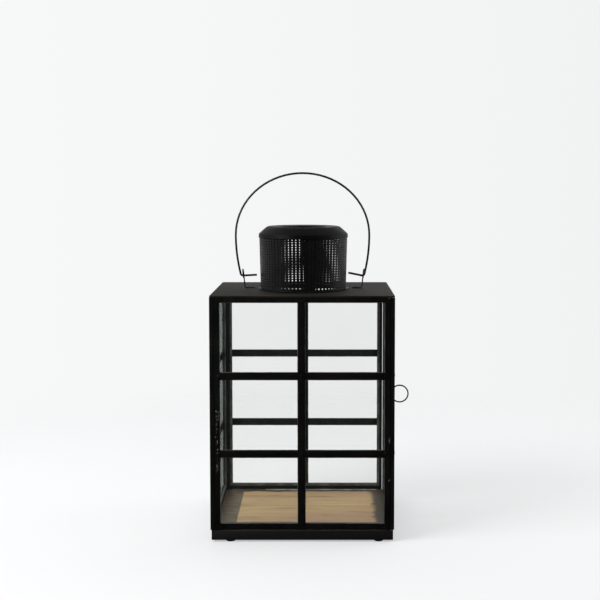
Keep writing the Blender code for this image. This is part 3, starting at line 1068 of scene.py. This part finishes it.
@dataclass
class CornerSeams:
    """Paint and filler run into the upright joints of the fixed sides."""

    palette: Palette
    recess: float = 0.0006
    depth: float = 0.0040

    def build(self) -> list[bpy.types.Object]:
        """Fill the two left-hand joints.

        Returns:
            The fillings.
        """
        pieces = []
        _, left_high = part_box("left_frame")
        for name, front in (("front", -1.0), ("rear", 1.0)):
            low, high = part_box(f"{name}_frame")
            face = low.y if front < 0 else high.y
            middle_y = face - front * (self.recess + self.depth / 2)
            middle_x = (left_high.x + low.x) / 2
            bm = bmesh.new()
            rounded_strip(
                bm, Vector((middle_x, middle_y + front * self.depth / 2, low.z)),
                Vector((middle_x, middle_y + front * self.depth / 2, high.z)),
                Vector((1, 0, 0)), Vector((0, -front, 0)),
                low.x - left_high.x + 0.0001, self.depth, 0.08,
            )
            pieces.append(add_piece(
                f"{name}_corner_seam", bm, "case", self.palette.case,
            ))
        return pieces


@dataclass
class DoorStrip:
    """Thin dark strip on the door's hinge edge: a dark sheet set in the joint as painted shade,
    with gaps left where light shows through the joint.
    """

    palette: Palette
    # Heights of the gaps in the painted-shade strip, where light shows through the joint.
    worn_and_light_gaps: tuple[tuple[float, float], ...] = ((0.0835, 0.0868), (0.1352, 0.1448))
    clear: float = 0.00015
    depth: float = 0.0024

    def build(self) -> list[bpy.types.Object]:
        """Build the strip in lengths, with a gap at each place where light shows through the joint.

        Returns:
            The strip.
        """
        low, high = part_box("door_frame")
        _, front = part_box("front_frame")
        pin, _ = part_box("door_pin_lower")
        inner = front.x + self.clear
        middle_x = (inner + low.x) / 2
        near_y = pin.y + 0.0012
        ends = [low.z] + [z for pair in self.worn_and_light_gaps for z in pair] + [high.z]
        bm = bmesh.new()
        for start, end in zip(ends[::2], ends[1::2]):
            rounded_strip(
                bm, Vector((middle_x, near_y + self.depth, start)),
                Vector((middle_x, near_y + self.depth, end)), Vector((1, 0, 0)),
                Vector((0, -1, 0)), low.x - inner + 0.0001, self.depth,
            )
        return [add_piece("door_edge_strip", bm, "door", self.palette.case)]


@dataclass
class RearFootBead:
    """Near-white bead between the rear rail and the board: a painted highlight standing in for the
    bright line of light at the gap beneath the rail.
    """

    palette: Palette
    wide: float = 0.0009
    reach: float = 0.0030

    def build(self) -> list[bpy.types.Object]:
        """Run the bead along the rail's inner foot.

        Returns:
            The bead.
        """
        low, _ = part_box("rear_frame")
        _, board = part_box("base_board")
        bm = bmesh.new()
        height = board.z + 0.00005 + self.wide / 2
        rounded_strip(
            bm, Vector((-0.0600, low.y, height)), Vector((0.1100, low.y, height)),
            Vector((0, 0, 1)), Vector((0, -1, 0)), self.wide, self.reach, 0.2, 3.0,
        )
        return [add_piece("rear_foot_bead", bm, "case", self.palette.fresh)]


@dataclass
class RubbedSpotsAndGlints:
    """Scuffs on the front left upright, where the lantern has been handled, and three pale flakes
    on the right-hand edge: two painted highlights where light shows through the door's joint and a
    paint chip at the top corner.
    """

    palette: Palette
    low: float = 0.092
    high: float = 0.182
    count: int = 34
    # Pale flakes on the right-hand edge: the first two are painted highlights where light shows
    # through the door's joint, the last is a paint chip at the top corner.
    chips_and_glints: tuple[tuple[float, float, float], ...] = (
        (0.0009, 0.1400, 0.0042), (0.0011, 0.0852, 0.0016), (0.0012, 0.3338, 0.0007),
    )

    def flake(self, bm: bmesh.types.BMesh, centre: Vector, wide: float, tall: float,
              chance: random.Random) -> None:
        """Add one ragged flake.

        Args:
            bm: where to draw.
            centre: its middle.
            wide: half its width.
            tall: half its height.
            chance: source of its ragged edge.
        """
        corners = 11
        edge = []
        for k in range(corners):
            turn = math.tau * k / corners
            reach = chance.uniform(0.55, 1.0)
            edge.append(bm.verts.new(centre + Vector((
                reach * wide * math.cos(turn), 0.0, reach * tall * math.sin(turn),
            ))))
        bm.faces.new(edge)

    def build(self) -> list[bpy.types.Object]:
        """Lay thin flakes on the upright's outer face.

        Returns:
            The flakes, as one piece.
        """
        corner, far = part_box("front_frame")
        chance = random.Random(41)
        face = corner.y - 0.00002
        bm = bmesh.new()
        for _ in range(self.count):
            size = chance.uniform(0.0003, 0.0011)
            x = corner.x + chance.triangular(0.0004, 0.0062, 0.0040)
            centre = Vector((x, face, chance.uniform(self.low, self.high)))
            self.flake(bm, centre, size * 0.6, size * 1.6, chance)
        # Painted highlights by the door's joint, then the top-corner paint chip.
        for inset, height, tall in self.chips_and_glints:
            self.flake(bm, Vector((far.x - inset, face, height)), 0.0006, tall, chance)
        piece = add_piece("front_scuffs_and_glints", bm, "case", self.palette.scuff)
        return [piece]


# -------------------------------------------------------- roof and chimney

@dataclass
class RoofPlate:
    """The flat roof."""

    palette: Palette
    edge: float = 0.0003

    def build(self) -> list[bpy.types.Object]:
        """Dress the roof.

        Returns:
            Its pieces.
        """
        plate = dress("roof_plate", self.palette.roof)
        ease_edges(plate, self.edge)
        return [plate]


@dataclass
class Chimney:
    """Collar, pierced drum and domed cap."""

    palette: Palette
    rows: int = 21
    columns: int = 72
    row_pitch: float = 0.00352
    first_row: float = 0.0040
    climb: float = 0.5
    hole: float = 0.00108
    sheet: float = 0.0007
    seam: float = math.radians(4.2)
    lap_columns: int = 2
    hole_sides: int = 12
    foot_z: float = field(init=False)
    top_z: float = field(init=False)
    foot_radius: float = field(init=False)
    top_radius: float = field(init=False)

    def __post_init__(self) -> None:
        """Read the drum's heights and radii from the frame."""
        low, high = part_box("chimney_drum")
        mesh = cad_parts["chimney_drum"].data
        self.foot_z, self.top_z = low.z, high.z
        self.foot_radius = max(v.co.xy.length for v in mesh.vertices if v.co.z < low.z + 0.001)
        self.top_radius = max(v.co.xy.length for v in mesh.vertices if v.co.z > high.z - 0.001)

    def drum_radius(self, height: float) -> float:
        """Outer radius of the drum at a height."""
        share = (height - self.foot_z) / (self.top_z - self.foot_z)
        return self.foot_radius + (self.top_radius - self.foot_radius) * share

    def pierced_cell(
        self, bm: bmesh.types.BMesh, place: Callable[[float, float, float], Vector],
        turn: float, half_turn: float, height: float, half_height: float,
    ) -> None:
        """Add one square of sheet with a round hole through it.

        Args:
            bm: where to draw.
            place: turns an angle, a height and a depth into a point.
            turn: angle of the hole's centre.
            half_turn: half the cell's angle.
            height: height of the hole's centre.
            half_height: half the cell's height.
        """
        radius = self.drum_radius(height)
        rims = []
        for depth in (0.0, self.sheet):
            outer, inner = [], []
            for k in range(self.hole_sides):
                spin = math.tau * (k + 0.5) / self.hole_sides
                u, v = math.cos(spin), math.sin(spin)
                stretch = 1.0 / max(abs(u), abs(v))
                outer.append(bm.verts.new(place(
                    turn + half_turn * u * stretch, height + half_height * v * stretch, depth,
                )))
                inner.append(bm.verts.new(place(
                    turn + self.hole * u / radius, height + self.hole * v, depth,
                )))
            rims.append((outer, inner))
        (outer, inner), (back_outer, back_inner) = rims
        for k in range(self.hole_sides):
            m = (k + 1) % self.hole_sides
            bm.faces.new((outer[k], outer[m], inner[m], inner[k]))
            bm.faces.new((back_outer[m], back_outer[k], back_inner[k], back_inner[m]))
            bm.faces.new((inner[k], inner[m], back_inner[m], back_inner[k]))

    def plain_band(
        self, bm: bmesh.types.BMesh, place: Callable[[float, float, float], Vector],
        start: float, edge: float, outer: float,
    ) -> None:
        """Add plain sheet between the pierced rows and the drum's level edge.

        Args:
            bm: where to draw.
            place: turns an angle, a height and a depth into a point.
            start: angle of the seam.
            edge: height beside the pierced rows, which climbs with them.
            outer: height of the level edge.
        """
        count = self.columns * 2
        columns = []
        for k in range(count + 1):
            turn = start + math.tau * k / count
            near = [place(turn, edge, depth) for depth in (0.0, self.sheet)]
            far = [Vector((point.x, point.y, outer)) for point in near]
            columns.append([bm.verts.new(point) for point in (*near, *reversed(far))])
        for here, after in zip(columns, columns[1:]):
            for k in range(4):
                m = (k + 1) % 4
                bm.faces.new((here[k], after[k], after[m], here[m]))

    def drum(self) -> bpy.types.Object:
        """Pierced sheet, with the backing strip where its two ends lap.

        Returns:
            The drum, in place of the plain CAD one.
        """
        step = math.tau / self.columns
        start = -math.pi / 2 + self.seam
        half = self.row_pitch / 2
        first = self.foot_z + self.first_row
        bm = bmesh.new()

        def on_drum(turn: float, height: float, depth: float) -> Vector:
            """Point on the drum's wall, whose rows climb a little from seam to seam."""
            radius = self.drum_radius(height) - depth
            rise = self.climb * self.row_pitch * ((turn - start) / math.tau - 0.5)
            return Vector((radius * math.cos(turn), radius * math.sin(turn), height + rise))

        def on_lap(turn: float, height: float, depth: float) -> Vector:
            """Point on the strip behind the lap, which drifts off the holes towards its foot."""
            share = (self.top_z - height) / (self.top_z - self.foot_z)
            return on_drum(turn + step * 0.62 * min(1.0, share * 1.5), height, depth + self.sheet)

        for row in range(self.rows):
            height = first + row * self.row_pitch
            for column in range(self.columns):
                turn = start + (column + 0.5) * step
                self.pierced_cell(bm, on_drum, turn, step / 2, height, half)
            for column in range(-1, self.lap_columns):
                turn = start + (column + 0.5) * step
                self.pierced_cell(bm, on_lap, turn, step / 2, height, half)
        self.plain_band(bm, on_drum, start, first - half, self.foot_z)
        last = first + (self.rows - 0.5) * self.row_pitch
        self.plain_band(bm, on_drum, start, last, self.top_z)
        bmesh.ops.remove_doubles(bm, verts=bm.verts, dist=0.00002)
        return add_piece(
            "pierced_drum", bm, "case", self.palette.chimney,
            ("chimney_drum",), 50.0,
        )

    def cap(self) -> bpy.types.Object:
        """Cap with a rolled bead at its shoulder and a turned-down hole.

        Returns:
            The cap, in place of the plain CAD one.
        """
        low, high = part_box("chimney_cap")
        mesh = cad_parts["chimney_cap"].data
        skirt = max(v.co.xy.length for v in mesh.vertices)
        hole = min(v.co.xy.length for v in mesh.vertices)
        rim = max(v.co.xy.length for v in mesh.vertices if v.co.z > high.z - 0.0002)
        shoulder = low.z + 0.0052
        outline = [
            (skirt - 0.0002, low.z), (skirt, low.z + 0.0004), (skirt, low.z + 0.0010),
            (skirt - 0.0004, low.z + 0.0016), (skirt - 0.0004, shoulder - 0.0012),
            (skirt - 0.0006, shoulder - 0.0003), (skirt - 0.0016, shoulder + 0.0008),
            (skirt - 0.0040, shoulder + 0.0030), (skirt - 0.0075, shoulder + 0.0062),
            (skirt - 0.0102, shoulder + 0.0083), (rim + 0.0022, high.z - 0.0006),
            (rim, high.z - 0.0001), (rim - 0.004, high.z - 0.0003),
            (rim * 0.5 + hole * 0.5, high.z - 0.0010), (hole + 0.0020, high.z - 0.0012),
            (hole + 0.0009, high.z - 0.0015), (hole + 0.0003, high.z - 0.0021),
            (hole + 0.0001, high.z - 0.0030),
        ]
        wall = 0.0008
        inside = [
            (hole + 0.0001 + wall, high.z - 0.0030), (hole + 0.0012, high.z - 0.0024),
            (rim - 0.001, high.z - wall - 0.0004), (skirt - 0.0108, shoulder + 0.0078),
            (skirt - 0.0044, shoulder + 0.0022), (skirt - wall - 0.0006, shoulder - 0.0010),
            (skirt - wall - 0.0004, low.z),
        ]
        bm = turned(outline + inside)
        # The cap takes the darker copy of the chimney paint: painted shade.
        return add_piece(
            "domed_cap", bm, "case", self.palette.cap, ("chimney_cap",), 60.0,
        )

    def collar(self) -> bpy.types.Object:
        """Flanged ring around the roof's hole."""
        # The collar takes the cap's darker paint: painted shade.
        return dress("chimney_collar", self.palette.cap)

    def build(self) -> list[bpy.types.Object]:
        """Build the chimney."""
        return [self.collar(), self.drum(), self.cap()]


# ------------------------------------------------------------- wire pieces

@dataclass
class WireWork:
    """The bail with its eyes, and the ring pull with its eye."""

    palette: Palette
    wires: tuple[str, ...] = (
        "bail_handle", "bail_eye_left", "bail_eye_right", "ring_eye", "ring_pull",
    )

    def build(self) -> list[bpy.types.Object]:
        """Dress the wires."""
        return [dress(name, self.palette.wire) for name in self.wires]


# ------------------------------------------------------------------ studio

@dataclass
class Studio:
    """Pale floor, soft lights, plain surround and camera."""

    floor_reach: float = 1.10
    fade_from: float = 0.55
    camera_place: Vector = field(default_factory=lambda: Vector((0.0282, -1.4608, 0.4900)))
    focal: float = 61.4
    tilt: float = math.radians(3.593)
    shift: tuple[float, float] = (-0.0384, -0.0900)
    backdrop: float = 0.93
    ambient: float = 0.95
    floor_light: float = 9.0
    floor_lift: float = 0.5

    def surround(self) -> None:
        """Plain bright surround behind the lantern, with a softer glow for its light."""
        world = bpy.data.worlds.new("plain_surround")
        bpy.context.scene.world = world
        world.use_nodes = True
        tree = world.node_tree
        tree.nodes.clear()
        link = tree.links.new
        out = tree.nodes.new("ShaderNodeOutputWorld")
        seen = tree.nodes.new("ShaderNodeBackground")
        seen.inputs["Color"].default_value = (0.990, 0.995, 1.0, 1.0)
        glow = tree.nodes.new("ShaderNodeBackground")
        glow.inputs["Strength"].default_value = self.ambient
        place = tree.nodes.new("ShaderNodeTexCoord")
        parts = tree.nodes.new("ShaderNodeSeparateXYZ")
        link(place.outputs["Generated"], parts.inputs[0])
        across = tree.nodes.new("ShaderNodeMapRange")
        across.inputs["From Min"].default_value = -0.30
        across.inputs["From Max"].default_value = 0.30
        across.inputs["To Min"].default_value = self.backdrop * 1.015
        across.inputs["To Max"].default_value = self.backdrop * 0.955
        link(parts.outputs[0], across.inputs["Value"])
        link(across.outputs["Result"], seen.inputs["Strength"])
        fade = tree.nodes.new("ShaderNodeValToRGB")
        for stop, shade in zip(fade.color_ramp.elements, (0.10, 1.0)):
            stop.color = (shade, shade, shade, 1.0)
        lift = tree.nodes.new("ShaderNodeMapRange")
        lift.inputs["From Min"].default_value = -1.0
        lift.inputs["From Max"].default_value = 0.6
        link(parts.outputs[1], lift.inputs["Value"])
        link(lift.outputs["Result"], fade.inputs["Fac"])
        link(fade.outputs["Color"], glow.inputs["Color"])
        ray = tree.nodes.new("ShaderNodeLightPath")
        pick = tree.nodes.new("ShaderNodeMixShader")
        link(ray.outputs["Is Camera Ray"], pick.inputs[0])
        link(glow.outputs[0], pick.inputs[1])
        link(seen.outputs[0], pick.inputs[2])
        link(pick.outputs[0], out.inputs["Surface"])

    def floor(self) -> bpy.types.Object:
        """Pale floor that fades out into the surround.

        Returns:
            The floor.
        """
        bm = bmesh.new()
        bmesh.ops.create_circle(bm, cap_ends=True, segments=96, radius=self.floor_reach)
        mesh = bpy.data.meshes.new("studio_floor")
        bm.to_mesh(mesh)
        bm.free()
        g = Graph("pale_floor")
        paper = g.node("ShaderNodeBsdfDiffuse")
        ray = g.node("ShaderNodeLightPath").outputs["Is Camera Ray"]
        g.feed(paper.inputs["Color"], g.mix(ray, (0.10, 0.10, 0.10), (0.80, 0.805, 0.81)))
        haze = g.node("ShaderNodeEmission")
        g.feed(haze.inputs["Color"], (0.985, 0.992, 1.0))
        haze.inputs["Strength"].default_value = self.backdrop
        lift = g.maths("MULTIPLY", ray, self.floor_lift)
        lifted = g.blend(lift, paper.outputs[0], haze.outputs[0])
        clear = g.node("ShaderNodeBsdfTransparent")
        reach = g.node("ShaderNodeVectorMath", operation="LENGTH")
        g.feed(reach.inputs[0], g.place)
        fade = g.span(reach.outputs["Value"], self.fade_from, self.floor_reach - 0.02)
        mesh.materials.append(g.finished(g.blend(fade, lifted, clear.outputs[0])))
        plane = bpy.data.objects.new("studio_floor", mesh)
        bpy.context.scene.collection.objects.link(plane)
        return plane

    def lamp(
        self, name: str, place: Vector, aim: Vector, size: float, energy: float,
        receiver: bpy.types.Collection | None = None,
    ) -> bpy.types.Object:
        """Add a square soft light.

        Args:
            name: its name.
            place: where it hangs.
            aim: the point that it faces.
            size: length of its side.
            energy: its power in watts.
            receiver: the only things that it lights, if it isn't for everything.

        Returns:
            The light.
        """
        data = bpy.data.lights.new(name, "AREA")
        data.shape = "SQUARE"
        data.size = size
        data.energy = energy
        light = bpy.data.objects.new(name, data)
        light.location = place
        light.rotation_euler = (aim - place).to_track_quat("-Z", "Y").to_euler()
        bpy.context.scene.collection.objects.link(light)
        if receiver is not None:
            light.light_linking.receiver_collection = receiver
        return light

    def lights(self, plane: bpy.types.Object) -> None:
        """Key from the upper left, a weak fill, and a light for the floor alone.

        Args:
            plane: the floor.
        """
        middle = Vector((0.0, 0.0, 0.22))
        self.lamp("key_light", Vector((-1.7, -0.9, 1.5)), middle, 1.2, 42.0)
        self.lamp("right_fill", Vector((1.9, 0.4, 0.9)), middle, 1.2, 14.0)
        only = bpy.data.collections.new("floor_only")
        only.objects.link(plane)
        self.lamp(
            "floor_light", Vector((-0.9, -0.6, 2.6)), Vector((0, 0, 0)), 1.8,
            self.floor_light, only,
        )

    def camera(self) -> bpy.types.Object:
        """Camera at a little above the roof's height, looking slightly down.

        Returns:
            The camera.
        """
        data = bpy.data.cameras.new("studio_camera")
        data.lens = self.focal
        data.sensor_width = 36.0
        data.shift_x, data.shift_y = self.shift
        data.clip_start = 0.01
        view = bpy.data.objects.new("studio_camera", data)
        view.location = self.camera_place
        view.rotation_euler = (math.pi / 2 - self.tilt, 0.0, 0.0)
        bpy.context.scene.collection.objects.link(view)
        bpy.context.scene.camera = view
        return view

    def build(self) -> None:
        """Set up the studio."""
        bpy.context.scene.view_settings.view_transform = "Standard"
        self.surround()
        self.lights(self.floor())
        self.camera()


# ------------------------------------------------------------------- main

def main() -> None:
    """Dress the lantern from the base up and set it in the studio."""
    logging.basicConfig(level=logging.INFO, format="%(message)s")
    seam_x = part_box("front_frame")[0].x + STAINED_STRIP
    palette = Palette.mix_up(seam_x)
    groups = [WoodenBase(palette)]
    groups += [GlazedSide(side, palette) for side in (Side.FRONT, Side.REAR)]
    groups += [GlazedSide(side, palette, waver=0.10) for side in (Side.LEFT, Side.DOOR)]
    groups += [
        CornerSeams(palette), DoorStrip(palette), RearFootBead(palette), RubbedSpotsAndGlints(palette),
        RoofPlate(palette), Chimney(palette), WireWork(palette),
    ]
    for group in groups:
        for piece in group.build():
            log.info("%s: %s", type(group).__name__, piece.name)
    Studio().build()


if __name__ == "__main__":
    main()
